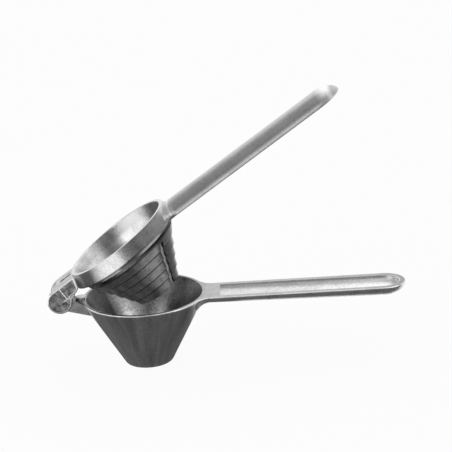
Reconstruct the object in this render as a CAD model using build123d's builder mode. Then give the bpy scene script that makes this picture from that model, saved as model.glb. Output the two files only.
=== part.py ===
"""Hinged lemon squeezer: two cast arms and a hinge pin.

The lower arm carries a conical cup with a drained floor, the upper arm a hollow stepped
plunger that nests in the cup.  Both end in a long channel handle.  The arms turn on a pin
through a tongue on the lower arm and a forked bracket on the upper one.

Frame: origin at the centre of the cup's foot, +Z up the cup, +X along the lower handle.
The upper arm stands open by open_angle.  All sizes are in millimetres.
"""

from build123d import *
from math import atan, copysign, cos, degrees, radians, tan
import os

# --- cup -------------------------------------------------------------------------------
cup_height = 38.5  # foot to rim plane
cup_rim_radius = 34.0  # outside, at the rim plane
cup_foot_radius = 12.6  # outside cone, carried down to the foot plane
cup_wall = 2.4  # measured level
cup_floor = 3.0
cup_foot_round = 3.0
cup_inner_round = 2.5
drain_diameter = 3.2
drain_circle = 5.6
drain_count = 6

# --- handles ---------------------------------------------------------------------------
handle_width = 24.0
handle_rim = 3.5  # land beside the channel
handle_floor = 2.0  # metal under the channel
neck_length = 7.2  # cup rim to where both channels start
neck_round = 9.0
lower_handle_reach = 107.7  # cup rim to tip
lower_neck_depth = 5.5  # where the channel starts
lower_tip_depth = 7.0
lower_web_depth = 2.0  # drafted web round the rim, neck and lug
neck_under_round = 8.5  # under the neck, between cup and handle
neck_inset = 0.3  # underside of the neck inside the web's outline
upper_handle_reach = 110.1  # collar lip to tip
upper_handle_depth = 6.7
edge_round = 0.5
coincident = 1e-6  # two heights closer than this are the same

# --- hinge -----------------------------------------------------------------------------
open_angle = 34.0  # how far the upper arm stands open
pin_offset = 10.8  # cup rim to pin axis
pin_rise = 1.7  # pin axis above the cup's rim plane
pin_diameter = 4.0
pin_clearance = 0.05  # all round, in the tongue
pin_stand = 0.3  # each end past the floor of the bracket's pocket
pin_end_round = 0.3
knuckle_wall = 4.4  # metal round the pin
tongue_width = 10.0
tongue_side_clearance = 0.3
tongue_root_depth = 9.5  # below the rim plane, where it meets the cup
lug_round = 5.0
lug_drop = 0.6  # top of the lug under the rim plane, clear of the rim's rounded edge
pad_radius = 3.1
pad_rise = 0.8  # top of the pad above the rim plane
pad_offset = 0.3  # cup rim to pad centre

# --- forked bracket --------------------------------------------------------------------
cheek_width = 5.2
cheek_wall = 4.7  # metal round the pin
cheek_root_rise = 6.9  # top edge above the pin axis, at the collar
cheek_root_low = 1.5  # lower edge above the collar's bottom plane, at the collar
cheek_chin = 1.5  # lower edge under the collar's bottom plane, next to the pin
chin_round = 0.8
cheek_bevel = 0.5  # round the outer face
cheek_rim = 0.9  # round the pocket in the outer face
pocket_rib = 0.7  # ribs that part the pocket
pocket_cross_rib = 4.5  # pin axis to cross rib
pocket_short_rib = 1.0  # pin axis down to short rib
pocket_depth = 1.0
bridge_rise = 2.9  # underside of the bridge above the pin axis
bridge_slot_width = 2.6
bridge_slot_length = 7.4
bridge_slot_depth = 1.5
bridge_slot_offset = 8.1  # pin axis to the middle of the slot
knuckle_clearance = 0.4

# --- collar and plunger ----------------------------------------------------------------
closed_gap = 2.1  # cup rim to collar, arms closed
collar_height = 7.8
collar_set_in = 0.5  # collar lip inside the cup's rim, arms closed
collar_lean = 2.4  # top edge inside the lip
collar_rim = 2.1  # land round the mouth
collar_top_round = 1.0
flare_length = 7.5  # edge of the mouth to where the handle runs straight
flare_spread = 3.0  # each side of the handle, at the mouth's edge
flare_lift = 0.9  # over the handle, at the mouth's edge
bead_drop = 3.8  # collar to bead
bead_proud = 1.0  # outside the mean cone
bead_undercut = 1.2  # neck under the collar inside the bead
ring_count = 5
ring_step = 1.0
peel_room_top = 2.95  # mean cone to the cup's bore at the top ring, arms closed
peel_room_foot = 3.7  # the same at the plunger's foot
seed_room = 8.0  # plunger foot to cup floor, arms closed
plunger_foot_round = 1.2
plunger_wall = 3.2  # measured level, mean cone to bore
plunger_floor = 2.6
plunger_inner_round = 3.0
mouth_throat_drop = 7.0  # collar top to where the bore's cone begins
mouth_round = 9.0
groove_width = 2.7
groove_depth = 0.8  # under the mean cone
groove_angles = (-142, -38, 38, 142)

# --- derived values: cup and handles ---------------------------------------------------
cup_slope = (cup_rim_radius - cup_foot_radius) / cup_height
cup_draft = degrees(atan(cup_slope))
web_bottom_radius = cup_rim_radius - lower_web_depth * cup_slope
half_handle = handle_width / 2
half_channel = half_handle - handle_rim
channel_start = cup_rim_radius + neck_length

# --- derived values: hinge -------------------------------------------------------------
pin_radius = pin_diameter / 2
pin_reach = cup_rim_radius + pin_offset
pin_drop = closed_gap - pin_rise  # pin axis below the collar's bottom plane, arms closed
knuckle_radius = pin_radius + knuckle_wall
half_tongue = tongue_width / 2
half_slot = half_tongue + tongue_side_clearance
half_bracket = half_slot + cheek_width
cheek_radius = pin_radius + cheek_wall

# --- derived values: collar and plunger ------------------------------------------------
collar_bottom_radius = cup_rim_radius - collar_set_in
collar_top_radius = collar_bottom_radius - collar_lean
collar_draft = degrees(atan(collar_lean / collar_height))
pocket_root = -cheek_rim - (collar_bottom_radius**2 - half_bracket**2) ** 0.5  # where it nears the lip
plunger_depth = cup_height + closed_gap - cup_floor - seed_room
ring_depth = plunger_depth - bead_drop
ring_pitch = ring_depth / ring_count
cup_bore_bottom = cup_foot_radius - cup_wall  # the cup's bore cone, carried down to the foot plane
plunger_foot_radius = cup_bore_bottom + (cup_floor + seed_room) * cup_slope - peel_room_foot
ring_top_radius = (
    cup_bore_bottom + (cup_height + closed_gap - bead_drop) * cup_slope - peel_room_top
)
bead_radius = ring_top_radius + bead_proud
groove_top = bead_drop + ring_pitch / 3
plunger_neck_radius = bead_radius - bead_undercut
plunger_slope = (ring_top_radius - plunger_foot_radius) / ring_depth

# Rim plane of each arm: local x along the handle, y across it, z up the cup's axis.
lower_rim = Plane.XY.offset(cup_height)
pin_centre = Vector(-pin_reach, 0, cup_height + pin_rise)
swing = Location(pin_centre) * Rotation(0, -open_angle, 0) * Location(-pin_centre)
upper_rim = Plane(swing * Plane.XY.offset(cup_height + closed_gap).location)


def side_plane(rim, angle=0.0):
    """A plane through the cup axis of an arm: x outwards at angle, y up the axis."""
    turned = Plane(rim.location * Rotation(0, 0, angle))
    return Plane(turned.origin, x_dir=turned.x_dir, z_dir=-turned.y_dir)


def section_plane(rim, x):
    """A plane square across an arm at x: its x across the arm, its y up."""
    return Plane(rim.from_local_coords((x, 0, 0)), x_dir=rim.y_dir, z_dir=rim.x_dir)


def upright_axis(rim, x=0.0):
    """The axis of an arm at x, pointing down, so a turn carries its +y over its +x."""
    return Axis(rim.from_local_coords((x, 0, 0)), -rim.z_dir)


def keep_side(depth):
    """Keep the +y half of a handle's section."""
    Rectangle(handle_width, 4 * abs(depth), align=(Align.MIN, Align.CENTER), mode=Mode.INTERSECT)


def beam_section(rim, x, depth, half=False, spread=0.0):
    """Section of a handle at x: half an oval under the rim plane for depth > 0, its corners
    rounded.  half keeps its +y side, the profile of a domed end; spread widens each side."""
    with BuildSketch(section_plane(rim, x)) as section:
        Ellipse(half_handle + spread, abs(depth))
        with Locations((0, depth)):
            Rectangle(handle_width + 2 * spread, 2 * abs(depth), mode=Mode.SUBTRACT)
        fillet(section.vertices(), edge_round)
        if half:
            keep_side(depth)
    return section.sketch.face()


def channel_section(rim, x, depth, half=False):
    """Section of the channel in a handle at x, flared at its mouth to round the lands."""
    with BuildSketch(section_plane(rim, x)) as section:
        Ellipse(half_channel, abs(depth))
        with Locations((0, depth)):
            Rectangle(2 * half_channel, 2 * abs(depth), mode=Mode.SUBTRACT)
        with Locations((0, copysign(edge_round, depth))):
            Rectangle(2 * half_channel + handle_rim, 2 * edge_round)
        fillet(section.vertices().group_by(lambda v: abs(v.X))[0], edge_round)
        if half:
            keep_side(depth)
    return section.sketch.face()


# --- lower arm -------------------------------------------------------------------------
lower_end = cup_rim_radius + lower_handle_reach - half_handle
lower_rate = (lower_tip_depth - lower_neck_depth) / (lower_end - channel_start)
neck_end = ((cup_rim_radius + neck_round) ** 2 - (half_handle + neck_round) ** 2) ** 0.5
neck_root = neck_end * cup_rim_radius / (cup_rim_radius + neck_round)
under_end = cup_rim_radius - lower_neck_depth * cup_slope + neck_under_round * tan(
    radians(45 - cup_draft / 2)
)
under_foot = under_end - neck_under_round * cos(radians(cup_draft))
lug_root = web_bottom_radius - (tongue_root_depth - lower_web_depth) * cup_slope - cup_wall / 2



def arc_rise(radius, run):
    """How far an arc has left its tangent after a run along it."""
    return radius - (radius**2 - max(run, 0) ** 2) ** 0.5


def lower_depth(x):
    """Depth of the lower handle at x."""
    return lower_tip_depth - lower_rate * (lower_end - x)


def neck_section(x):
    """Section of the neck's underside at x, wider and deeper towards the cup."""
    return beam_section(
        lower_rim,
        x,
        lower_depth(x) + arc_rise(neck_under_round, under_end - x),
        spread=max(arc_rise(neck_round, neck_end - max(x, neck_root)) - neck_inset, 0),
    )


with BuildPart() as lower_arm:
    # web round the rim, with the roots of the neck
    with BuildSketch(lower_rim) as web:
        Circle(cup_rim_radius)
        Rectangle(channel_start, handle_width, align=(Align.MIN, Align.CENTER))
        fillet(web.vertices().group_by(Axis.X)[-2], neck_round)
    extrude(amount=-lower_web_depth, taper=cup_draft)
    fillet(lower_arm.faces().sort_by(Axis.Z)[-1].edges(), edge_round)
    # roots of the hinge lug
    with BuildSketch(lower_rim.offset(-lug_drop)) as lug_web:
        Circle(cup_rim_radius - lug_drop * cup_slope)
        Rectangle(cup_rim_radius + lug_round, tongue_width, align=(Align.MAX, Align.CENTER))
        fillet(lug_web.vertices().group_by(Axis.X)[1], lug_round)
    extrude(amount=lug_drop - lower_web_depth, taper=cup_draft)
    # cup
    with BuildSketch(Plane.XZ) as cup_profile:
        with BuildLine():
            Polyline(
                (0, 0),
                (cup_foot_radius, 0),
                (web_bottom_radius, cup_height - lower_web_depth),
                (cup_rim_radius - cup_wall / 2, cup_height),
                (0, cup_height),
                close=True,
            )
        make_face()
        fillet(cup_profile.vertices().sort_by(Axis.Y)[:2].sort_by(Axis.X)[-1], cup_foot_round)
    revolve(axis=Axis.Z)
    # handle: a half-oval beam with a domed end
    loft(
        [
            neck_section(neck_end),
            beam_section(lower_rim, lower_end, lower_tip_depth),
        ],
        ruled=True,
    )
    revolve(
        beam_section(lower_rim, lower_end, lower_tip_depth, half=True),
        axis=upright_axis(lower_rim, lower_end),
        revolution_arc=180,
    )
    # neck: the beam widens and deepens into the cup
    loft([neck_section(under_foot + share * (neck_end - under_foot)) for share in (0, 0.25, 0.5, 0.75, 1)])
    # hinge lug: a tongue that ends in the knuckle round the pin
    with BuildSketch(side_plane(lower_rim)) as lug:
        with BuildLine():
            CenterArc((-pin_reach, pin_rise), knuckle_radius, 0, 360)
            Line((-lug_root, 0), (-lug_root, -tongue_root_depth))
        make_hull()
        with Locations((-lug_root, -lug_drop)):
            Rectangle(
                pin_reach - lug_root,
                2 * knuckle_radius + pin_rise,
                align=(Align.MAX, Align.MIN),
                mode=Mode.SUBTRACT,
            )
        with Locations((-pin_reach, pin_rise)):
            Circle(knuckle_radius)
    extrude(amount=half_tongue, both=True)
    # inside of the cup, flared at the rim's inner edge
    with BuildSketch(Plane.XZ) as cup_bore:
        with BuildLine():
            Polyline(
                (0, cup_floor),
                (cup_bore_bottom + cup_floor * cup_slope, cup_floor),
                (cup_rim_radius - cup_wall, cup_height),
                (cup_rim_radius, cup_height),
                (cup_rim_radius, 2 * cup_height),
                (0, 2 * cup_height),
                close=True,
            )
        make_face()
        fillet(cup_bore.vertices().sort_by(Axis.Y)[:2].sort_by(Axis.X)[-1], cup_inner_round)
        fillet(cup_bore.vertices().group_by(Axis.Y)[-2].sort_by(Axis.X)[0], edge_round)
    revolve(axis=Axis.Z, mode=Mode.SUBTRACT)
    # low round pad on the lug and the rim, clear of the rim's inner edge
    with BuildSketch(lower_rim.offset(-lug_drop)):
        with Locations((-cup_rim_radius - pad_offset, 0)):
            Circle(pad_radius)
        Circle(cup_rim_radius - cup_wall + edge_round, mode=Mode.SUBTRACT)
    extrude(amount=lug_drop + pad_rise)
    # channel of the handle
    loft(
        [
            channel_section(lower_rim, channel_start, lower_neck_depth - handle_floor),
            channel_section(lower_rim, lower_end, lower_tip_depth - handle_floor),
        ],
        ruled=True,
        mode=Mode.SUBTRACT,
    )
    revolve(
        channel_section(lower_rim, lower_end, lower_tip_depth - handle_floor, half=True),
        axis=upright_axis(lower_rim, lower_end),
        revolution_arc=180,
        mode=Mode.SUBTRACT,
    )
    # drain holes and pin bore
    with BuildSketch(Plane.XY):
        with PolarLocations(drain_circle, drain_count):
            Circle(drain_diameter / 2)
    extrude(amount=cup_floor, mode=Mode.SUBTRACT)
    with BuildSketch(side_plane(lower_rim)):
        with Locations((-pin_reach, pin_rise)):
            Circle(pin_radius + pin_clearance)
    extrude(amount=tongue_width, both=True, mode=Mode.SUBTRACT)
lower_arm.part.label = "lower_arm"

# --- upper arm -------------------------------------------------------------------------
upper_end = collar_bottom_radius + upper_handle_reach - half_handle
mouth_radius = collar_top_radius - collar_rim
bracket_root = mouth_radius


def mean_radius(drop):
    """Radius of the plunger's mean cone at a drop below the collar."""
    return ring_top_radius - (drop - bead_drop) * plunger_slope


def bore_radius(drop):
    """Radius of the plunger's bore at a drop below the collar."""
    return mean_radius(drop) - plunger_wall


ring_points = []
for ring in range(ring_count):
    ring_top = bead_drop + ring * ring_pitch
    ring_foot = ring_top + ring_pitch
    ring_points.append((mean_radius(ring_top) - ring_step / 2, -ring_top))
    ring_points.append((mean_radius(ring_foot) + ring_step / 2, -ring_foot))
ring_points[0] = (bead_radius, -bead_drop)


def cheek_outline(inset=0.0):
    """Side outline of the bracket, drawn in by inset: a round end and an arm to the collar."""
    with BuildSketch() as outline:
        with BuildLine():
            CenterArc((-pin_reach, -pin_drop), cheek_radius - inset, 0, 360)
            Line(
                (-bracket_root, cheek_root_low + inset),
                (-bracket_root, cheek_root_rise - pin_drop - inset),
            )
        make_hull()
        with Locations((-pin_reach, inset - cheek_chin)):
            Rectangle(pin_reach, 2 * cheek_radius, align=(Align.MIN, Align.MAX), mode=Mode.SUBTRACT)
        with Locations((-pin_reach, -pin_drop)):
            Circle(cheek_radius - inset)
    return outline.sketch


with BuildSketch() as cheek:
    add(cheek_outline())
    chin_corners = cheek.vertices().filter_by(lambda corner: abs(corner.Y + cheek_chin) < coincident)
    fillet(chin_corners, chin_round)
with BuildSketch() as pocket:
    add(cheek_outline(cheek_rim))
    with Locations((pocket_root, 0)):
        Rectangle(
            pin_reach,
            4 * cheek_radius,
            rotation=-collar_draft,
            align=(Align.MIN, Align.CENTER),
            mode=Mode.SUBTRACT,
        )
    with Locations((-pin_reach + pocket_cross_rib, -pin_drop - pocket_short_rib)):
        Rectangle(pocket_rib, 2 * cheek_radius, align=(Align.CENTER, Align.MIN), mode=Mode.SUBTRACT)
    with Locations((-pin_reach, -pin_drop - pocket_short_rib)):
        Rectangle(cheek_radius, pocket_rib, align=(Align.MIN, Align.CENTER), mode=Mode.SUBTRACT)

with BuildPart() as upper_arm:
    # collar and plunger: bead under the collar, then the stepped rings
    with BuildSketch(side_plane(upper_rim)) as turned_body:
        with BuildLine():
            Polyline(
                (0, collar_height),
                (collar_top_radius, collar_height),
                (collar_bottom_radius, 0),
                (plunger_neck_radius, 0),
                (plunger_neck_radius, -bead_drop + bead_radius - plunger_neck_radius),
                *ring_points,
                (0, -plunger_depth),
                close=True,
            )
        make_face()
        lip_corner, top_corner = turned_body.vertices().sort_by(Axis.X)[:-3:-1]
        fillet(lip_corner, edge_round)
        fillet(top_corner, collar_top_round)
        foot_corner = turned_body.vertices().sort_by(Axis.Y)[:2].sort_by(Axis.X)[-1]
        fillet(foot_corner, plunger_foot_round)
    revolve(axis=upright_axis(upper_rim))
    # handle, with a flare where it leaves the collar
    loft([
        beam_section(
            upper_rim,
            mouth_radius + (1 - share) * flare_length,
            -upper_handle_depth - flare_lift * share**2,
            spread=flare_spread * share**2,
        )
        for share in (1.0, 0.5, 0.0)
    ])
    loft(
        [
            beam_section(upper_rim, bracket_root, -upper_handle_depth),
            beam_section(upper_rim, upper_end, -upper_handle_depth),
        ],
        ruled=True,
    )
    revolve(
        beam_section(upper_rim, upper_end, -upper_handle_depth, half=True),
        axis=upright_axis(upper_rim, upper_end),
        revolution_arc=180,
    )
    # bracket: bevelled cheeks with a shallow pocket in each
    extrude(side_plane(upper_rim) * cheek.sketch, amount=half_bracket - cheek_bevel, both=True)
    for side in (-1, 1):
        bevel_plane = side_plane(upper_rim).offset(side * (half_bracket - cheek_bevel))
        outer_plane = side_plane(upper_rim).offset(side * half_bracket)
        extrude(bevel_plane * cheek.sketch, amount=side * cheek_bevel, taper=45)
        extrude(outer_plane * pocket.sketch, amount=-side * pocket_depth, mode=Mode.SUBTRACT)
    # bore of collar and plunger, flared at the mouth's edge
    with BuildSketch(side_plane(upper_rim)) as bore:
        with BuildLine():
            Polyline(
                (0, 2 * collar_height),
                (collar_top_radius, 2 * collar_height),
                (collar_top_radius, collar_height),
                (mouth_radius, collar_height),
                (bore_radius(mouth_throat_drop - collar_height), collar_height - mouth_throat_drop),
                (bore_radius(plunger_depth - plunger_floor), plunger_floor - plunger_depth),
                (0, plunger_floor - plunger_depth),
                close=True,
            )
        make_face()
        fillet(bore.vertices().sort_by(Axis.Y)[:2].sort_by(Axis.X)[-1], plunger_inner_round)
        fillet(bore.vertices().group_by(Axis.Y)[-3], mouth_round)
        fillet(bore.vertices().group_by(Axis.Y)[-2].sort_by(Axis.X)[0], edge_round)
    revolve(axis=upright_axis(upper_rim), mode=Mode.SUBTRACT)
    # channel under the handle
    loft(
        [
            channel_section(upper_rim, channel_start, handle_floor - upper_handle_depth),
            channel_section(upper_rim, upper_end, handle_floor - upper_handle_depth),
        ],
        ruled=True,
        mode=Mode.SUBTRACT,
    )
    revolve(
        channel_section(upper_rim, upper_end, handle_floor - upper_handle_depth, half=True),
        axis=upright_axis(upper_rim, upper_end),
        revolution_arc=180,
        mode=Mode.SUBTRACT,
    )
    # fork: room for the knuckle, the hollow under the bridge, the slot in its top
    with BuildSketch(side_plane(upper_rim)) as fork:
        with Locations((-pin_reach, -pin_drop)):
            Circle(knuckle_radius + knuckle_clearance)
            Rectangle(2 * cheek_radius, 4 * cheek_radius, align=(Align.MAX, Align.CENTER))
            with Locations((0, bridge_rise)):
                Rectangle(
                    pin_reach - collar_bottom_radius,
                    4 * cheek_radius,
                    align=(Align.MIN, Align.MAX),
                )
            with Locations((0, pin_drop)):
                Rectangle(pin_reach - bead_radius, 4 * cheek_radius, align=(Align.MIN, Align.MAX))
    extrude(amount=half_slot, both=True, mode=Mode.SUBTRACT)
    with BuildSketch(upper_rim.offset(cheek_root_rise - pin_drop - bridge_slot_depth)):
        with Locations((-pin_reach + bridge_slot_offset, 0)):
            SlotOverall(bridge_slot_length, bridge_slot_width)
    extrude(amount=cheek_radius, mode=Mode.SUBTRACT)
    with BuildSketch(side_plane(upper_rim)):
        with Locations((-pin_reach, -pin_drop)):
            Circle(pin_radius)
    extrude(amount=2 * half_bracket, both=True, mode=Mode.SUBTRACT)
    # juice grooves down the plunger
    for angle in groove_angles:
        with BuildSketch(side_plane(upper_rim, angle)):
            with BuildLine():
                Polyline(
                    (mean_radius(groove_top) - groove_depth, -groove_top),
                    (mean_radius(plunger_depth) - groove_depth, -plunger_depth),
                    (bead_radius, -plunger_depth),
                    (bead_radius, -groove_top),
                    close=True,
                )
            make_face()
        extrude(amount=groove_width / 2, both=True, mode=Mode.SUBTRACT)
upper_arm.part.label = "upper_arm"

# --- hinge pin -------------------------------------------------------------------------
with BuildPart() as hinge_pin:
    with BuildSketch(side_plane(Plane(pin_centre))):
        Circle(pin_radius)
    extrude(amount=half_bracket - pocket_depth + pin_stand, both=True)
    fillet(hinge_pin.edges().filter_by(GeomType.CIRCLE), pin_end_round)
hinge_pin.part.label = "hinge_pin"

os.makedirs("parts", exist_ok=True)
export_step(lower_arm.part, "parts/lower_arm.step")
export_step(upper_arm.part, "parts/upper_arm.step")
export_step(hinge_pin.part, "parts/hinge_pin.step")
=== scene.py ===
"""Finishes, light and camera for the hinged lemon squeezer.

The two cast arms and the pin keep their modelled shape.  Each arm's surface is divided into
the zones a foundry would finish apart: as-cast outsides, turned insides, ground lands and
linished handles.  Most zones also carry painted light in their colour: painted reflections,
painted highlights and painted shade in fans, bands and lines.
"""

import logging
import math
from abc import ABC, abstractmethod
from collections.abc import Callable
from dataclasses import dataclass
from enum import Enum
from typing import Self

import bpy
from mathutils import Matrix, Vector

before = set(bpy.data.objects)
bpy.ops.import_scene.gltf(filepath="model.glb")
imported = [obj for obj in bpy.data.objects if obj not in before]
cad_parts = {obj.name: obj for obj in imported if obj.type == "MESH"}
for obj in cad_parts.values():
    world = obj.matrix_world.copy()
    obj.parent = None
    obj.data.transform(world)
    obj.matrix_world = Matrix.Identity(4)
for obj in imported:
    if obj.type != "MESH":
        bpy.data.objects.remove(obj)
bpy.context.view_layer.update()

MM = 0.001

log = logging.getLogger("lemon_squeezer")


# --- shared sizes ------------------------------------------------------------------------


@dataclass(frozen=True)
class Press:
    """Sizes that both arms share, in millimetres.

    Attributes:
        cup_height: Foot to rim plane.
        cup_rim_radius: Outside of the cup at its rim.
        cup_foot_radius: Outside of the cup at its foot.
        cup_wall: Wall of the cup, measured level.
        pin_reach: Cup axis to pin axis.
        pin_rise: Pin axis above the rim plane.
        open_angle: How far the upper arm stands open, in degrees.
        closed_gap: Rim plane to the collar when the arms are closed.
        half_channel: Half the width of a handle's channel.
        channel_start: Cup axis to where the channels start.
        channel_side: How far out a channel's side walls may lean.
        channel_end: How far back a channel's end wall may lean.
    """

    cup_height: float = 38.5
    cup_rim_radius: float = 34.0
    cup_foot_radius: float = 12.6
    cup_wall: float = 2.4
    pin_reach: float = 44.8
    pin_rise: float = 1.7
    open_angle: float = 34.0
    closed_gap: float = 2.1
    half_channel: float = 8.5
    channel_start: float = 41.2
    channel_side: float = 0.6
    channel_end: float = 1.0

    @property
    def pin(self) -> Vector:
        """The pin axis at y 0, in millimetres."""
        return Vector((-self.pin_reach, 0.0, self.cup_height + self.pin_rise))

    @property
    def lip_height(self) -> float:
        """Height of the collar's lip plane with the arms closed, in millimetres."""
        return self.cup_height + self.closed_gap

    def cup_radius(self, height: float) -> float:
        """Outside radius of the cup's cone at a height."""
        slope = (self.cup_rim_radius - self.cup_foot_radius) / self.cup_height
        return self.cup_foot_radius + height * slope

    def by_channel(self, place: Vector) -> bool:
        """Tells whether a point lies within the outline of a handle's channel."""
        past_end = place.x > self.channel_start - self.channel_end
        return past_end and abs(place.y) < self.half_channel + self.channel_side

    def close(self) -> Matrix:
        """Works out the turn that closes the press.

        Returns:
            The turn that carries a point of the open upper arm to the closed arm.
        """
        pin = Matrix.Translation(self.pin)
        turn = Matrix.Rotation(math.radians(self.open_angle), 4, "Y")
        return pin @ turn @ pin.inverted()


@dataclass(frozen=True)
class Fit:
    """How closely a face has to meet a zone's test.

    Attributes:
        plane: Heights or depths closer than this are the same, in millimetres.
        edge: How far a face's middle may lie past an edge, in millimetres.
        hair: The same at a bevel or a groove, whose faces are small.
        upright: Least rise of an upright direction.
        rising: Least rise of a direction that faces up.
        sideways: Least sideways share of a direction that faces a side.
        level: Most share of a direction that counts as none.
    """

    plane: float = 0.05
    edge: float = 0.1
    hair: float = 0.02
    upright: float = 0.995
    rising: float = 0.5
    sideways: float = 0.9
    level: float = 0.02


PRESS = Press()
FIT = Fit()


# --- node helpers ------------------------------------------------------------------------


NOISE_MIDDLE = 0.5
NOISE_SPAN = (0.3, 0.7)  # nearly all of a noise lies between these


def grey(tone: float) -> tuple[float, float, float, float]:
    """The linear colour of a grey tone."""
    return (tone, tone, tone, 1.0)


class NodeChain:
    """Adds and joins the shader nodes of one material or world."""

    def __init__(self, owner: bpy.types.Material | bpy.types.World) -> None:
        """Starts with an empty node tree.

        Args:
            owner: Material or world that the nodes belong to.
        """
        owner.use_nodes = True
        self.tree = owner.node_tree
        self.tree.nodes.clear()

    def add(self, kind: str, inputs: dict | None = None, **settings: object) -> bpy.types.Node:
        """Adds a node.

        Args:
            kind: Blender's name for the node type.
            inputs: Value or socket for each input, by name or place.
            **settings: Attributes to set on the node.

        Returns:
            The new node.
        """
        node = self.tree.nodes.new(kind)
        for name, value in settings.items():
            setattr(node, name, value)
        for key, value in (inputs or {}).items():
            if isinstance(value, bpy.types.NodeSocket):
                self.tree.links.new(value, node.inputs[key])
            else:
                node.inputs[key].default_value = value
        return node

    def math(self, operation: str, *values: object) -> bpy.types.NodeSocket:
        """Adds a math node of the named operation for the numbers or sockets, in order."""
        return self.add("ShaderNodeMath", dict(enumerate(values)), operation=operation).outputs[0]

    def ramp(self, value: bpy.types.NodeSocket, stops: dict[float, float]) -> bpy.types.NodeSocket:
        """Maps a value through straight spans.

        Args:
            value: The socket to map.
            stops: Output for each input, in rising order of input.

        Returns:
            The mapped grey socket.
        """
        keys = sorted(stops)
        low, high = keys[0], keys[-1]
        span = self.add("ShaderNodeMapRange", {0: value, 1: low, 2: high, 3: 0.0, 4: 1.0})
        node = self.add("ShaderNodeValToRGB", {0: span.outputs[0]})
        elements = node.color_ramp.elements
        while len(elements) < len(keys):
            elements.new(0.5)  # moved to its place below
        for element, key in zip(elements, keys):
            element.position = (key - low) / (high - low)
        for element, key in zip(elements, keys):
            element.color = grey(stops[key])
        return node.outputs[0]

    def noise(
        self, place: bpy.types.NodeSocket, size: float, detail: float, roughness: float
    ) -> bpy.types.NodeSocket:
        """Adds a noise.

        Args:
            place: Where the noise is read.
            size: Size of a patch, in the units of the place.
            detail: Number of finer layers.
            roughness: How strong the finer layers are.

        Returns:
            The noise's value socket.
        """
        inputs = {"Vector": place, "Scale": 1 / size, "Detail": detail, "Roughness": roughness}
        return self.add("ShaderNodeTexNoise", inputs).outputs[0]

    def about_one(self, noise: bpy.types.NodeSocket, depth: float) -> bpy.types.NodeSocket:
        """Spreads a noise to shares either side of 1.

        Args:
            noise: The noise's value socket.
            depth: Most by which a share leaves 1.

        Returns:
            The share's socket.
        """
        low, high = NOISE_SPAN
        inputs = {0: noise, 1: low, 2: high, 3: 1 - depth, 4: 1 + depth}
        return self.add("ShaderNodeMapRange", inputs).outputs[0]

    def seen(self) -> bpy.types.NodeSocket:
        """Tells the rays that see the surroundings from those that only light.

        Returns:
            A socket of 1 for the eye's rays, also through glass and off gloss, and else 0.
        """
        path = self.add("ShaderNodeLightPath").outputs
        eye = self.math("MAXIMUM", path["Is Camera Ray"], path["Is Transmission Ray"])
        return self.math("MAXIMUM", eye, path["Is Glossy Ray"])


class Axes(Enum):
    """Which arm's own axes a pattern is laid on."""

    LOWER = "lower"
    UPPER = "upper"


@dataclass(frozen=True)
class Coordinates:
    """Sockets of a point on an arm, in millimetres, on the arm's closed axes.

    Attributes:
        vector: The point as a vector.
        along: Along the handle, from the cup axis.
        across: Across the arm.
        height: Up the cup axis, from the foot plane.
        angle: Round the cup axis, in radians from the handle.
    """

    vector: bpy.types.NodeSocket
    along: bpy.types.NodeSocket
    across: bpy.types.NodeSocket
    height: bpy.types.NodeSocket
    angle: bpy.types.NodeSocket

    @classmethod
    def on(cls, chain: NodeChain, axes: Axes) -> Self:
        """Reads object coordinates and turns them to an arm's own axes.

        Args:
            chain: The material's nodes.
            axes: Which arm the pattern lies on.

        Returns:
            The sockets of the point.
        """
        place = chain.add("ShaderNodeTexCoord").outputs["Object"]
        closing = PRESS.close() if axes is Axes.UPPER else Matrix.Identity(4)
        turn = (0.0, closing.to_euler().y, 0.0)
        scale = (1 / MM,) * 3
        inputs = {"Vector": place, "Location": closing.translation, "Rotation": turn, "Scale": scale}
        vector = chain.add("ShaderNodeMapping", inputs).outputs[0]
        along, across, height = chain.add("ShaderNodeSeparateXYZ", {0: vector}).outputs
        return cls(vector, along, across, height, chain.math("ARCTAN2", across, along))


# --- patterns ----------------------------------------------------------------------------


class Pattern(ABC):
    """Makes a metal lighter or darker from place to place."""

    @abstractmethod
    def share(self, chain: NodeChain, at: Coordinates) -> bpy.types.NodeSocket:
        """Writes the pattern.

        Args:
            chain: The material's nodes.
            at: The point on the arm.

        Returns:
            The share of the plain tone at the point.
        """


@dataclass(frozen=True)
class Bands(Pattern):
    """Painted light and shade: light and dark bands that follow one measure of the arm.

    Attributes:
        stops: Share of the plain tone at each value of the measure.
    """

    stops: dict[float, float]

    @abstractmethod
    def measure(self, chain: NodeChain, at: Coordinates) -> bpy.types.NodeSocket:
        """Writes the measure that the bands follow.

        Args:
            chain: The material's nodes.
            at: The point on the arm.

        Returns:
            The measure's socket.
        """

    def share(self, chain: NodeChain, at: Coordinates) -> bpy.types.NodeSocket:
        """Writes the bands."""
        return chain.ramp(self.measure(chain, at), self.stops)


class Sectors(Bands):
    """Painted reflections: fans round the cup axis, alike either side of the handle, by degrees from it."""

    def measure(self, chain: NodeChain, at: Coordinates) -> bpy.types.NodeSocket:
        """Writes the degrees from the handle."""
        return chain.math("DEGREES", chain.math("ABSOLUTE", at.angle))


class Strips(Bands):
    """Painted shade and light in strips along a handle, both sides alike, by millimetres from its middle
    plane.
    """

    def measure(self, chain: NodeChain, at: Coordinates) -> bpy.types.NodeSocket:
        """Writes the distance from the middle plane."""
        return chain.math("ABSOLUTE", at.across)


class Levels(Bands):
    """Painted light and shade in bands up the cup axis, by millimetres over the foot."""

    def measure(self, chain: NodeChain, at: Coordinates) -> bpy.types.NodeSocket:
        """Passes on the height."""
        return at.height


class Lengths(Bands):
    """Painted light and shade in stretches along a handle, by millimetres from the cup axis."""

    def measure(self, chain: NodeChain, at: Coordinates) -> bpy.types.NodeSocket:
        """Passes on the distance from the cup axis."""
        return at.along


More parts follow.
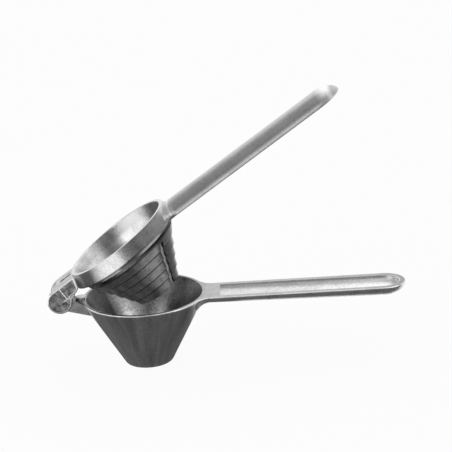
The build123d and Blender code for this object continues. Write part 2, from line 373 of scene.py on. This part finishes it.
@dataclass(frozen=True)
class RingLines(Bands):
    """A painted shadow line under each ring of the plunger and a painted highlight on the edge above it.

    The bands follow the way down one ring, from 0 at its top to 1 at its foot.

    Attributes:
        top: Height of the first ring's top over the foot, in millimetres.
        pitch: Ring to ring, in millimetres.
    """

    top: float
    pitch: float

    def measure(self, chain: NodeChain, at: Coordinates) -> bpy.types.NodeSocket:
        """Writes the way down the ring."""
        drop = chain.math("SUBTRACT", self.top, at.height)
        return chain.math("FRACT", chain.math("DIVIDE", drop, self.pitch))


@dataclass(frozen=True)
class Clouds(Pattern):
    """Soft patches and grains.

    Attributes:
        size: Size of a patch in millimetres.
        depth: Most by which a patch leaves the plain tone, as a share of it.
        detail: Number of finer layers.
        roughness: How strong the finer layers are.
    """

    size: float
    depth: float
    detail: float = 3.0
    roughness: float = 0.55

    def share(self, chain: NodeChain, at: Coordinates) -> bpy.types.NodeSocket:
        """Writes the patches."""
        noise = chain.noise(at.vector, self.size, self.detail, self.roughness)
        return chain.about_one(noise, self.depth)


@dataclass(frozen=True)
class Streaks(Pattern):
    """Faint streaks that run down a cone.

    Attributes:
        width: Width of a streak at the rim, in degrees.
        depth: Most by which a streak leaves the plain tone, as a share of it.
        drift: How fast a streak changes down the cone, in widths for each millimetre.
        detail: Number of finer layers.
        roughness: How strong the finer layers are.
    """

    width: float
    depth: float
    drift: float = 0.02
    detail: float = 2.0
    roughness: float = 0.6

    def share(self, chain: NodeChain, at: Coordinates) -> bpy.types.NodeSocket:
        """Writes the streaks.

        Args:
            chain: The material's nodes.
            at: The point on the cone.

        Returns:
            The share of the plain tone at the point.
        """
        turn = chain.math("DIVIDE", chain.math("DEGREES", at.angle), self.width)
        rise = chain.math("MULTIPLY", at.height, self.drift)
        place = chain.add("ShaderNodeCombineXYZ", {0: turn, 1: rise}).outputs[0]
        noise = chain.noise(place, size=1.0, detail=self.detail, roughness=self.roughness)
        return chain.about_one(noise, self.depth)


# --- finishes, with painted light and shade ----------------------------------------------


@dataclass(frozen=True)
class Finish:
    """One metal finish of a zone, with the painted light and shade that its colour carries.

    Attributes:
        name: Name of the material.
        axes: Which arm's axes its patterns lie on.
        tone: Grey of the metal, linear; darkened on some zones as painted shade and raised on the bevels as
            painted highlight.
        roughness: Base roughness.
        patterns: Painted light and shade, and random patches, that vary the metal from place to place.
        metal: Share of the surface that is bare metal; the rest is dull oxide.
        turning: Depth of tool lines round the cup axis, in millimetres.
        tool_pitch: Tool line to tool line, in millimetres.
        grit: Depth of the cast grain in millimetres.
        grit_size: Size of the grain in millimetres.
        uneven: How much the roughness varies over the grain.
        brightest: Lightest grey that bare metal reaches, linear.
    """

    name: str
    axes: Axes
    tone: float
    roughness: float
    patterns: tuple[Pattern, ...]
    metal: float = 1.0
    turning: float = 0.0
    tool_pitch: float = 0.45
    grit: float = 0.02
    grit_size: float = 0.5
    uneven: float = 0.2
    brightest: float = 0.97

    def colour(self, chain: NodeChain, at: Coordinates) -> bpy.types.NodeSocket:
        """Writes the metal's colour.

        Args:
            chain: The material's nodes.
            at: The point on the arm.

        Returns:
            The colour's socket.
        """
        tone = self.tone
        for pattern in self.patterns:
            tone = chain.math("MULTIPLY", tone, pattern.share(chain, at))
        tone = chain.math("MINIMUM", tone, self.brightest)
        return chain.add("ShaderNodeCombineColor", {0: tone, 1: tone, 2: tone}).outputs[0]

    def relief(
        self, chain: NodeChain, at: Coordinates, grain: bpy.types.NodeSocket
    ) -> bpy.types.NodeSocket:
        """Writes the cast grain and the tool lines.

        Args:
            chain: The material's nodes.
            at: The point on the arm.
            grain: The grain's noise.

        Returns:
            The bumped normal's socket.
        """
        height = chain.math("MULTIPLY", grain, self.grit)
        if self.turning:
            turns = chain.math("MULTIPLY", at.height, 2 * math.pi / self.tool_pitch)
            lines = chain.math("MULTIPLY", chain.math("SINE", turns), self.turning)
            height = chain.math("ADD", height, lines)
        return chain.add("ShaderNodeBump", {"Strength": 1.0, "Distance": MM, "Height": height}).outputs[0]

    def build(self) -> bpy.types.Material:
        """Makes the node material of this finish.

        Returns:
            The material.
        """
        material = bpy.data.materials.new(self.name)
        chain = NodeChain(material)
        at = Coordinates.on(chain, self.axes)
        colour = self.colour(chain, at)
        grain = chain.noise(at.vector, self.grit_size, detail=2.0, roughness=0.5)
        rough = chain.math("MULTIPLY", chain.math("SUBTRACT", grain, NOISE_MIDDLE), self.uneven)
        rough = chain.math("ADD", self.roughness, rough)
        relief = self.relief(chain, at, grain)
        inputs = {"Base Color": colour, "Metallic": self.metal, "Roughness": rough, "Normal": relief}
        shader = chain.add("ShaderNodeBsdfPrincipled", inputs)
        chain.add("ShaderNodeOutputMaterial", {"Surface": shader.outputs[0]})
        return material


class LowerZone(Enum):
    """Zones of the lower arm."""

    CUP_OUTSIDE = "cup outside"
    CUP_INSIDE = "cup inside"
    LAND = "land"
    CHANNEL = "channel"
    HANDLE_OUTSIDE = "handle outside"
    LUG = "lug"
    PAD = "pad"


class UpperZone(Enum):
    """Zones of the upper arm."""

    COLLAR = "collar"
    BORE = "bore"
    LAND = "land"
    PLUNGER = "plunger"
    BEAD = "bead"
    GROOVE = "groove"
    HANDLE_TOP = "handle top"
    FLARE = "flare"
    CHANNEL = "channel"
    BRACKET = "bracket"
    BEVEL = "bevel"
    POCKET = "pocket"


LOWER_FINISHES = {
    # Painted reflections: the cup is lighter in fans towards the handle and the hinge; it is also lighter
    # towards the foot, and a painted highlight runs along the rim's edge.
    LowerZone.CUP_OUTSIDE: Finish(
        "cast_cup_outside_painted_light",
        Axes.LOWER,
        tone=0.68,
        roughness=0.34,
        patterns=(
            Sectors({0: 1.3, 22: 1.2, 34: 0.92, 90: 1.0, 122: 1.1, 134: 1.42}),
            Streaks(width=15.0, depth=0.3),
            Clouds(size=1.0, depth=0.15),
            Levels({0: 1.3, 3: 1.05, 10: 1.0, 36: 1.0, 38.2: 1.2, 38.6: 1.4}),
        ),
    ),
    # Painted reflections: light and dark fans round the inside of the cup.
    LowerZone.CUP_INSIDE: Finish(
        "turned_cup_inside_painted_reflections",
        Axes.LOWER,
        tone=0.95,
        roughness=0.35,
        patterns=(
            Sectors(
                {0: 0.15, 48: 0.14, 58: 0.3, 72: 1.1, 92: 0.7}
                | {104: 1.1, 120: 1.0, 133: 0.35, 144: 0.06, 170: 0.1}
            ),
            Clouds(size=0.9, depth=0.4),
            Clouds(size=6.0, depth=0.3),
        ),
        turning=0.004,
    ),
    # Painted shade: the rim's land has a dark tone, darker again across its sides; the neck's land is
    # lightened as a painted reflection.
    LowerZone.LAND: Finish(
        "ground_lower_land_painted_light",
        Axes.LOWER,
        tone=0.3,
        roughness=0.3,
        patterns=(
            Sectors({0: 1.0, 30: 1.0, 60: 0.7, 120: 0.7, 150: 0.95}),
            Lengths({28: 1.0, 38: 1.35, 120: 1.2, 141: 0.9}),
            Clouds(size=1.2, depth=0.12),
            Clouds(size=5.0, depth=0.12),
        ),
    ),
    # Painted shade darkens the channel towards its side walls; a painted highlight lightens it towards its
    # rounded end.
    LowerZone.CHANNEL: Finish(
        "lower_channel_painted_light",
        Axes.LOWER,
        tone=0.8,
        roughness=0.4,
        patterns=(
            Strips({0: 1.05, 5: 0.95, 7: 0.8, 8.2: 0.5, 9: 0.6}),
            Lengths({40: 1.0, 80: 1.0, 125: 1.3, 140: 1.1}),
            Clouds(size=1.4, depth=0.14),
            Clouds(size=9.0, depth=0.08),
        ),
    ),
    LowerZone.HANDLE_OUTSIDE: Finish(
        "cast_lower_handle",
        Axes.LOWER,
        tone=0.95,
        roughness=0.4,
        patterns=(Clouds(size=1.0, depth=0.25), Clouds(size=7.0, depth=0.15)),
    ),
    LowerZone.LUG: Finish(
        "cast_lug",
        Axes.LOWER,
        tone=0.55,
        roughness=0.38,
        patterns=(Clouds(size=1.0, depth=0.25), Clouds(size=4.0, depth=0.25)),
    ),
    # Painted shade: the pad is given a darker tone for the shadow at its wall.
    LowerZone.PAD: Finish(
        "pad_painted_shade", Axes.LOWER, tone=0.5, roughness=0.3, patterns=(Clouds(size=1.0, depth=0.2),)
    ),
}

UPPER_FINISHES = {
    # Painted reflections: bright and dark patches round the collar.
    UpperZone.COLLAR: Finish(
        "turned_collar_painted_reflections",
        Axes.UPPER,
        tone=0.6,
        roughness=0.3,
        patterns=(
            Sectors(
                {0: 1.0, 16: 0.9, 22: 0.42, 40: 0.32, 52: 0.24, 66: 0.26}
                | {78: 1.0, 84: 1.5, 106: 1.4, 122: 0.2, 134: 0.16, 144: 0.5}
            ),
            Clouds(size=0.8, depth=0.22),
            Clouds(size=4.0, depth=0.12),
        ),
    ),
    # Painted reflections in fans round the bore, and painted shade that darkens it deeper down.
    UpperZone.BORE: Finish(
        "turned_bore_painted_light",
        Axes.UPPER,
        tone=0.85,
        roughness=0.4,
        patterns=(
            Sectors(
                {0: 0.1, 44: 0.15, 54: 0.3, 66: 1.0, 74: 1.25, 98: 1.25}
                | {104: 0.7, 110: 0.33, 122: 0.22, 138: 0.82, 180: 0.85}
            ),
            Levels({34: 0.6, 38: 0.85, 42: 1.0}),
            Clouds(size=0.8, depth=0.2),
            Clouds(size=5.0, depth=0.2),
        ),
        turning=0.004,
    ),
    UpperZone.LAND: Finish(
        "ground_upper_land", Axes.UPPER, tone=0.7, roughness=0.25, patterns=(Clouds(size=1.2, depth=0.08),)
    ),
    # Painted reflections in fans round the plunger, and at every ring a painted shadow line and a painted
    # highlight.
    UpperZone.PLUNGER: Finish(
        "turned_plunger_painted_light",
        Axes.UPPER,
        tone=0.5,
        roughness=0.32,
        patterns=(
            Sectors(
                {0: 0.6, 12: 0.08, 36: 0.08, 44: 0.2, 56: 1.6, 68: 1.7}
                | {80: 0.84, 88: 0.45, 112: 0.46, 124: 0.75, 136: 1.7}
            ),
            RingLines({0: 0.35, 0.16: 0.35, 0.24: 1.0, 0.88: 1.0, 0.94: 1.3, 1: 1.3}, top=36.8, pitch=5.16),
            Clouds(size=0.9, depth=0.25),
            Clouds(size=4.0, depth=0.25),
        ),
        metal=0.85,
    ),
    # Painted highlights: bright crescents round the bead and along its lower part, over a dark tone.
    UpperZone.BEAD: Finish(
        "turned_bead_painted_highlights",
        Axes.UPPER,
        tone=0.34,
        roughness=0.36,
        patterns=(
            Sectors({0: 0.5, 28: 0.6, 36: 1.7, 62: 1.7, 72: 0.5, 92: 0.6, 98: 2.4, 118: 2.4, 126: 0.4}),
            Levels({37.6: 2.6, 38.4: 0.7}),
        ),
        metal=0.4,
    ),
    UpperZone.GROOVE: Finish(
        "milled_groove", Axes.UPPER, tone=0.48, roughness=0.6, patterns=(Clouds(size=1.0, depth=0.2),)
    ),
    # Painted shade along the handle's rounded edges, painted light on its sides, and a painted highlight at
    # its tip.
    UpperZone.HANDLE_TOP: Finish(
        "linished_upper_handle_painted_light",
        Axes.UPPER,
        tone=0.6,
        roughness=0.4,
        patterns=(
            Clouds(size=1.0, depth=0.12),
            Clouds(size=8.0, depth=0.08),
            Strips({0: 1.0, 5: 0.93, 8.5: 0.72, 9.9: 0.52, 10.6: 0.4, 11.2: 0.46, 11.5: 0.65, 11.8: 1.1}),
            Lengths({36: 1.0, 132: 1.0, 136: 1.5, 139: 1.5, 141: 0.8}),
        ),
    ),
    # Painted shade on the flare's shoulders and a painted highlight in a line across it.
    UpperZone.FLARE: Finish(
        "flare_painted_light",
        Axes.UPPER,
        tone=0.6,
        roughness=0.42,
        patterns=(
            Strips({0: 1.0, 5: 0.95, 8.5: 0.8, 10.6: 0.6, 11.5: 0.8, 12: 1.0}),
            Lengths({32.8: 1.1, 34.0: 1.65, 34.8: 1.1}),
            Clouds(size=1.0, depth=0.12),
        ),
    ),
    UpperZone.CHANNEL: Finish(
        "cast_upper_channel",
        Axes.UPPER,
        tone=0.55,
        roughness=0.42,
        patterns=(Clouds(size=1.2, depth=0.2), Clouds(size=7.0, depth=0.15)),
    ),
    UpperZone.BRACKET: Finish(
        "ground_bracket",
        Axes.UPPER,
        tone=0.55,
        roughness=0.34,
        patterns=(Clouds(size=1.2, depth=0.25), Clouds(size=3.0, depth=0.3)),
    ),
    # Painted highlight: the bevels round the bracket's cheeks are given a bright tone.
    UpperZone.BEVEL: Finish(
        "bracket_bevel_painted_highlight", Axes.UPPER, tone=0.95, roughness=0.25, patterns=(Clouds(size=1.2, depth=0.25),)
    ),
    # Painted shade: the pockets in the cheeks are given a dark tone.
    UpperZone.POCKET: Finish(
        "bracket_pocket_painted_shade",
        Axes.UPPER,
        tone=0.36,
        roughness=0.42,
        patterns=(Clouds(size=2.5, depth=0.7), Clouds(size=0.9, depth=0.35)),
    ),
}

PIN_STEEL = Finish(
    "pin_steel", Axes.LOWER, tone=0.42, roughness=0.36, patterns=(Clouds(size=0.8, depth=0.25),)
)


# --- zones -------------------------------------------------------------------------------


def dress_zones(
    node: bpy.types.Object,
    finishes: dict[Enum, Finish],
    zone_of: Callable[[Vector, Vector], Enum],
    closing: Matrix,
) -> None:
    """Gives every face of a node the finish of its zone.

    Args:
        node: The CAD node's object.
        finishes: The finish of each zone.
        zone_of: Finds a face's zone from its middle and direction.
        closing: Carries a point of the node, in millimetres, to the arm's closed axes.
    """
    node.data.materials.clear()
    slots = {}
    for zone, finish in finishes.items():
        slots[zone] = len(node.data.materials)
        node.data.materials.append(finish.build())
    turn = closing.to_3x3()
    counts = dict.fromkeys(finishes, 0)
    for face in node.data.polygons:
        zone = zone_of(closing @ (face.center / MM), turn @ face.normal)
        face.material_index = slots[zone]
        counts[zone] += 1
    log.info("%s: %s", node.name, {zone.value: count for zone, count in counts.items()})


@dataclass
class LowerArm:
    """The cup, its lug and its handle.

    Attributes:
        node: Name of the CAD node.
        lug_height: Top of the lug over the foot, in millimetres.
        half_lug: Half the width of the lug's top.
        land_width: How far the rim's land may reach in from the rim.
        half_wall: A depth inside the cup's wall, between its two faces.
    """

    node: str = "lower_arm"
    lug_height: float = 37.9
    half_lug: float = 3.3
    land_width: float = 3.0
    half_wall: float = 1.0

    def on_lug_top(self, place: Vector) -> bool:
        """Tells whether a point lies on top of the lug, behind the cup."""
        behind = place.x < PRESS.cup_wall - PRESS.cup_rim_radius
        return behind and place.z > self.lug_height and abs(place.y) < self.half_lug

    def on_land(self, place: Vector, normal: Vector) -> bool:
        """Tells whether a face lies in the rim's plane, on the land."""
        flat = normal.z > FIT.upright and abs(place.z - PRESS.cup_height) < FIT.plane
        return flat and math.hypot(place.x, place.y) > PRESS.cup_rim_radius - self.land_width

    def zone(self, place: Vector, normal: Vector) -> LowerZone:
        """Finds the zone of a face.

        Args:
            place: Middle of the face, in millimetres.
            normal: Its outward direction.

        Returns:
            The zone the face belongs to.
        """
        radius = math.hypot(place.x, place.y)
        outer = PRESS.cup_radius(place.z)
        if self.on_lug_top(place):
            raised = place.z > PRESS.cup_height - FIT.edge or normal.z < FIT.rising
            return LowerZone.PAD if raised else LowerZone.LUG
        if self.on_land(place, normal):
            return LowerZone.LAND
        if radius < outer - self.half_wall and place.z < PRESS.cup_height + FIT.edge:
            outward = place.x * normal.x + place.y * normal.y
            inward = outward <= FIT.level * radius or normal.z > FIT.rising
            return LowerZone.CUP_INSIDE if inward else LowerZone.CUP_OUTSIDE
        if PRESS.by_channel(place) and normal.z > -FIT.level:
            return LowerZone.CHANNEL
        if radius > outer + FIT.edge:
            return LowerZone.HANDLE_OUTSIDE if place.x > 0 else LowerZone.LUG
        return LowerZone.CUP_OUTSIDE

    def dress(self) -> None:
        """Gives each zone of the node its finish."""
        dress_zones(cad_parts[self.node], LOWER_FINISHES, self.zone, Matrix.Identity(4))


@dataclass
class UpperArm:
    """The collar, plunger, bracket and handle, in millimetres on the closed arm.

    Attributes:
        node: Name of the CAD node.
        collar_height: Lip to mouth plane.
        collar_radius: Collar's lip.
        collar_lean: How much the collar narrows with each millimetre of height.
        collar_facing: How far outward the collar's wall faces.
        facing_spread: How much that may vary from face to face.
        cone_gap: How far a face of the collar may lie off its cone.
        mouth_radius: Inner edge of the mouth's land.
        mouth_ease: How much wider than that the bore may be.
        floor_rise: Least rise of the direction of the bore's floor.
        flare_start: Cup axis to where the handle's flare starts.
        flare_rise: Lip to the lower end of the flare.
        flare_end: Cup axis to where the handle runs straight.
        bracket_start: Cup axis to where the bracket starts, towards the hinge.
        bracket_root: How far inside the lip's radius the bracket may start.
        bracket_half: Half the width of the bracket.
        bevel: Bevel round the bracket's cheeks.
        pocket_depth: Depth of the pockets in the cheeks.
        bead_depth: Lip to the lower edge of the bead.
        bead_fall: Most fall of the direction of a face on the bead.
        groove_start: Lip to the upper end of the juice grooves.
        groove_half: Half the width of a juice groove.
        groove_angles: Where the grooves are, in degrees from the handle.
    """

    node: str = "upper_arm"
    collar_height: float = 7.8
    collar_radius: float = 33.5
    collar_lean: float = 0.308
    collar_facing: float = 0.956
    facing_spread: float = 0.06
    cone_gap: float = 0.12
    mouth_radius: float = 29.0
    mouth_ease: float = 0.6
    floor_rise: float = 0.6
    flare_start: float = 26.0
    flare_rise: float = 2.0
    flare_end: float = 36.5
    bracket_start: float = 28.0
    bracket_root: float = 2.0
    bracket_half: float = 10.5
    bevel: float = 0.5
    pocket_depth: float = 1.0
    bead_depth: float = 3.8
    bead_fall: float = 0.2
    groove_start: float = 5.0
    groove_half: float = 1.35
    groove_angles: tuple[float, ...] = (-142.0, -38.0, 38.0, 142.0)

    def on_land(self, place: Vector, normal: Vector, radius: float) -> bool:
        """Tells whether a face lies in the mouth's plane, on the land.

        Args:
            place: Middle of the face on the closed arm, in millimetres.
            normal: Its outward direction on the closed arm.
            radius: Cup axis to that middle.

        Returns:
            Whether it belongs to the land.
        """
        mouth = PRESS.lip_height + self.collar_height
        flat = normal.z > FIT.upright and abs(place.z - mouth) < FIT.plane
        return flat and self.mouth_radius <= radius < self.collar_radius

    def by_hinge(self, place: Vector, radius: float) -> bool:
        """Tells whether a point lies on the bracket or on the collar next to it."""
        behind = place.x < -self.bracket_start and radius > self.collar_radius - self.bracket_root
        return behind and abs(place.y) < self.bracket_half + FIT.edge

    def on_flare(self, place: Vector, radius: float) -> bool:
        """Tells whether a point near the handle stands off the collar's cone.

        Args:
            place: The point on the closed arm, in millimetres.
            radius: Cup axis to the point.

        Returns:
            Whether it belongs to the handle's flare.
        """
        lip = PRESS.lip_height
        off_cone = radius - self.collar_radius + self.collar_lean * (place.z - lip)
        near = place.x > self.flare_start and place.z > lip + self.flare_rise
        return near and abs(off_cone) > self.cone_gap

    def in_groove(self, place: Vector) -> bool:
        """Tells whether a point on the plunger lies in a juice groove.

        Args:
            place: The point on the closed arm, in millimetres.

        Returns:
            Whether it lies in one of the grooves.
        """
        if place.z >= PRESS.lip_height - self.groove_start:
            return False
        for angle in self.groove_angles:
            outward = Vector((math.cos(math.radians(angle)), math.sin(math.radians(angle)), 0.0))
            reach = place.dot(outward)
            aside = place - outward * reach
            if reach > 0 and math.hypot(aside.x, aside.y) < self.groove_half + FIT.hair:
                return True
        return False

    def bracket_zone(self, place: Vector, normal: Vector) -> UpperZone:
        """Finds the zone of a face on the bracket.

        Args:
            place: Middle of the face on the closed arm, in millimetres.
            normal: Its outward direction on the closed arm.

        Returns:
            The zone the face belongs to.
        """
        side = abs(place.y)
        if side > self.bracket_half - self.bevel + FIT.hair:
            return UpperZone.BEVEL
        sunk = abs(side - self.bracket_half + self.pocket_depth) < FIT.plane
        return UpperZone.POCKET if sunk and abs(normal.y) > FIT.sideways else UpperZone.BRACKET

    def plunger_zone(self, place: Vector, normal: Vector) -> UpperZone:
        """Finds the zone of a face under the collar's lip.

        Args:
            place: Middle of the face on the closed arm, in millimetres.
            normal: Its outward direction on the closed arm.

        Returns:
            The zone the face belongs to.
        """
        if place.z > PRESS.lip_height - self.bead_depth and normal.z > -self.bead_fall:
            return UpperZone.BEAD
        return UpperZone.GROOVE if self.in_groove(place) else UpperZone.PLUNGER

    def zone(self, place: Vector, normal: Vector) -> UpperZone:
        """Finds the zone of a face.

        Args:
            place: Middle of the face on the closed arm, in millimetres.
            normal: Its outward direction on the closed arm.

        Returns:
            The zone the face belongs to.
        """
        radius = math.hypot(place.x, place.y)
        outward = (place.x * normal.x + place.y * normal.y) / radius if radius else 0.0
        if self.on_land(place, normal, radius):
            return UpperZone.LAND
        turned_in = outward < -FIT.level or normal.z > self.floor_rise
        if turned_in and radius < self.mouth_radius + self.mouth_ease:
            return UpperZone.BORE
        if self.by_hinge(place, radius):
            leaned = abs(outward - self.collar_facing) < self.facing_spread
            on_collar = leaned and radius < self.collar_radius + FIT.edge
            return UpperZone.COLLAR if on_collar else self.bracket_zone(place, normal)
        if place.z < PRESS.lip_height - FIT.plane and radius < self.mouth_radius:
            return self.plunger_zone(place, normal)
        if PRESS.by_channel(place) and normal.z < FIT.level:
            return UpperZone.CHANNEL
        if place.x > self.flare_end:
            return UpperZone.HANDLE_TOP
        return UpperZone.FLARE if self.on_flare(place, radius) else UpperZone.COLLAR

    def dress(self) -> None:
        """Gives each zone of the node its finish."""
        dress_zones(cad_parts[self.node], UPPER_FINISHES, self.zone, PRESS.close())


@dataclass
class HingePin:
    """The pin through the fork.

    Attributes:
        node: Name of the CAD node.
        steel: Finish of the drawn steel.
    """

    node: str = "hinge_pin"
    steel: Finish = PIN_STEEL

    def dress(self) -> None:
        """Gives the pin its steel."""
        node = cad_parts[self.node]
        node.data.materials.clear()
        node.data.materials.append(self.steel.build())


# --- studio ------------------------------------------------------------------------------


class Facing(Enum):
    """How a card hangs, as its turn in radians."""

    LEVEL = (0.0, 0.0, 0.0)
    FRONT = (math.pi / 2, 0.0, 0.0)
    SIDE = (math.pi / 2, 0.0, math.pi / 2)


@dataclass(frozen=True)
class Card:
    """A plain grey card near the press, seen only in its gloss.

    Attributes:
        name: Name of the card.
        place: Its middle, in metres.
        size: Its width and its height or depth, in metres.
        facing: How it hangs.
        tone: Its grey, linear.
    """

    name: str
    place: tuple[float, float, float]
    size: tuple[float, float]
    facing: Facing
    tone: float


@dataclass(frozen=True)
class Lamp:
    """A square soft lamp that looks at the press.

    Attributes:
        name: Name of the lamp.
        place: Where it hangs, in metres.
        side: Side of its square, in metres.
        power: Power in watts.
    """

    name: str
    place: tuple[float, float, float]
    side: float
    power: float


CARDS = (
    Card("table_card", (0.11, -0.054, 0.0005), (0.48, 0.132), Facing.LEVEL, tone=0.1),
    Card("cup_card", (-0.02, 0.026, 0.0005), (0.14, 0.028), Facing.LEVEL, tone=0.09),
    Card("apron_card", (0.3, -0.57, 0.0005), (0.6, 0.9), Facing.LEVEL, tone=0.12),
    Card("front_card", (0.92, -1.3, 0.55), (2.56, 1.1), Facing.FRONT, tone=0.15),
    Card("left_card", (-1.3, 0.8, 1.8), (3.2, 2.5), Facing.SIDE, tone=0.33),
    Card("top_card", (-0.5, -0.65, 2.0), (2.0, 1.7), Facing.LEVEL, tone=0.5),
)

LAMPS = (
    Lamp("key", (-0.7, -0.5, 1.1), side=1.6, power=2.6),
    Lamp("fill", (0.9, -0.9, 0.6), side=0.9, power=1.5),
    Lamp("back", (0.2, 1.0, 0.9), side=1.8, power=1.8),
)


@dataclass
class Studio:
    """Floor, light and camera.

    Attributes:
        aim: Point the camera looks at, in millimetres.
        azimuth: Camera's turn round the upright, in degrees.
        elevation: Camera's height angle, in degrees.
        roll: Camera's turn round its own line of sight, in degrees.
        distance: Camera to aim, in millimetres.
        sight: How far the camera sees, in metres.
        lens: Focal length on a sensor of that width, in millimetres.
        sensor: Sensor width, in millimetres.
        fill: Strength of the world's plain light on surfaces.
        floor_side: Side of the floor's square, in metres.
        floor_drop: Foot plane to floor, in metres.
        floor_tone: Grey of the floor where the lamps light it, linear.
        floor_white: Share of plain white in the floor as it is seen.
    """

    aim: tuple[float, float, float] = (47.13, 0.0, 74.51)
    azimuth: float = 2.862
    elevation: float = 18.005
    roll: float = 4.281
    distance: float = 983.68
    sight: float = 10.0
    lens: float = 146.33
    sensor: float = 36.0
    fill: float = 0.7
    floor_side: float = 6.0
    floor_drop: float = 0.0002
    floor_tone: float = 0.9
    floor_white: float = 0.92

    def camera(self) -> None:
        """Adds the camera and makes it the scene's."""
        turn, rise, roll = (math.radians(a) for a in (self.azimuth, self.elevation, self.roll))
        back = Vector((math.sin(turn) * math.cos(rise), -math.cos(turn) * math.cos(rise), math.sin(rise)))
        right = Vector((math.cos(turn), math.sin(turn), 0.0))
        up = back.cross(right)
        x_axis = math.cos(roll) * right - math.sin(roll) * up
        y_axis = math.sin(roll) * right + math.cos(roll) * up
        data = bpy.data.cameras.new("camera")
        data.lens = self.lens
        data.sensor_width = self.sensor
        data.clip_end = self.sight
        camera = bpy.data.objects.new("camera", data)
        rotation = Matrix((x_axis, y_axis, back)).transposed()
        place = (Vector(self.aim) + back * self.distance) * MM
        camera.matrix_world = Matrix.Translation(place) @ rotation.to_4x4()
        bpy.context.scene.collection.objects.link(camera)
        bpy.context.scene.camera = camera

    def world(self) -> None:
        """White surroundings for the eye and for gloss, and a plain fill for the rest."""
        world = bpy.data.worlds.new("studio_world")
        bpy.context.scene.world = world
        chain = NodeChain(world)
        strength = chain.add("ShaderNodeMapRange", {0: chain.seen(), 3: self.fill, 4: 1.0}).outputs[0]
        sky = chain.add("ShaderNodeBackground", {0: grey(1.0), 1: strength}).outputs[0]
        chain.add("ShaderNodeOutputWorld", {0: sky})

    def floor(self) -> None:
        """A pale floor that shows white to the eye and keeps a faint shadow."""
        bpy.ops.mesh.primitive_plane_add(size=self.floor_side, location=(0.0, 0.0, -self.floor_drop))
        floor = bpy.context.object
        floor.name = "floor"
        material = bpy.data.materials.new("pale_floor")
        chain = NodeChain(material)
        matte = chain.add("ShaderNodeBsdfDiffuse", {0: grey(self.floor_tone)}).outputs[0]
        glow = chain.add("ShaderNodeEmission", {0: grey(1.0), 1: 1.0}).outputs[0]
        share = chain.math("MULTIPLY", chain.seen(), self.floor_white)
        blend = chain.add("ShaderNodeMixShader", {0: share, 1: matte, 2: glow}).outputs[0]
        chain.add("ShaderNodeOutputMaterial", {0: blend})
        floor.data.materials.append(material)

    def hang_card(self, card: Card) -> None:
        """Hangs a card that only gloss sees.

        Args:
            card: The card to hang.
        """
        bpy.ops.mesh.primitive_plane_add(size=1.0, location=card.place, rotation=card.facing.value)
        sheet = bpy.context.object
        sheet.name = card.name
        sheet.scale = (*card.size, 1.0)
        material = bpy.data.materials.new(card.name + "_cloth")
        chain = NodeChain(material)
        glow = chain.add("ShaderNodeEmission", {0: grey(card.tone), 1: 1.0}).outputs[0]
        chain.add("ShaderNodeOutputMaterial", {0: glow})
        sheet.data.materials.append(material)
        sheet.visible_camera = False
        sheet.visible_diffuse = False
        sheet.visible_shadow = False
        sheet.visible_transmission = False

    def hang_lamp(self, lamp: Lamp) -> None:
        """Hangs a lamp and turns it to the press.

        Args:
            lamp: The lamp to hang.
        """
        data = bpy.data.lights.new(lamp.name, "AREA")
        data.size = lamp.side
        data.energy = lamp.power
        light = bpy.data.objects.new(lamp.name, data)
        direction = Vector(self.aim) * MM - Vector(lamp.place)
        turn = direction.to_track_quat("-Z", "Y").to_matrix().to_4x4()
        light.matrix_world = Matrix.Translation(lamp.place) @ turn
        bpy.context.scene.collection.objects.link(light)

    def build(self) -> None:
        """Sets up the whole studio."""
        self.camera()
        self.world()
        self.floor()
        for card in CARDS:
            self.hang_card(card)
        for lamp in LAMPS:
            self.hang_lamp(lamp)
        bpy.context.scene.view_settings.view_transform = "Standard"


def main() -> None:
    """Dresses the press and sets up the studio."""
    logging.basicConfig(level=logging.INFO)
    bpy.ops.object.select_all(action="DESELECT")
    for part in (LowerArm(), UpperArm(), HingePin()):
        part.dress()
        log.info("dressed %s", part.node)
    Studio().build()


if __name__ == "__main__":
    main()
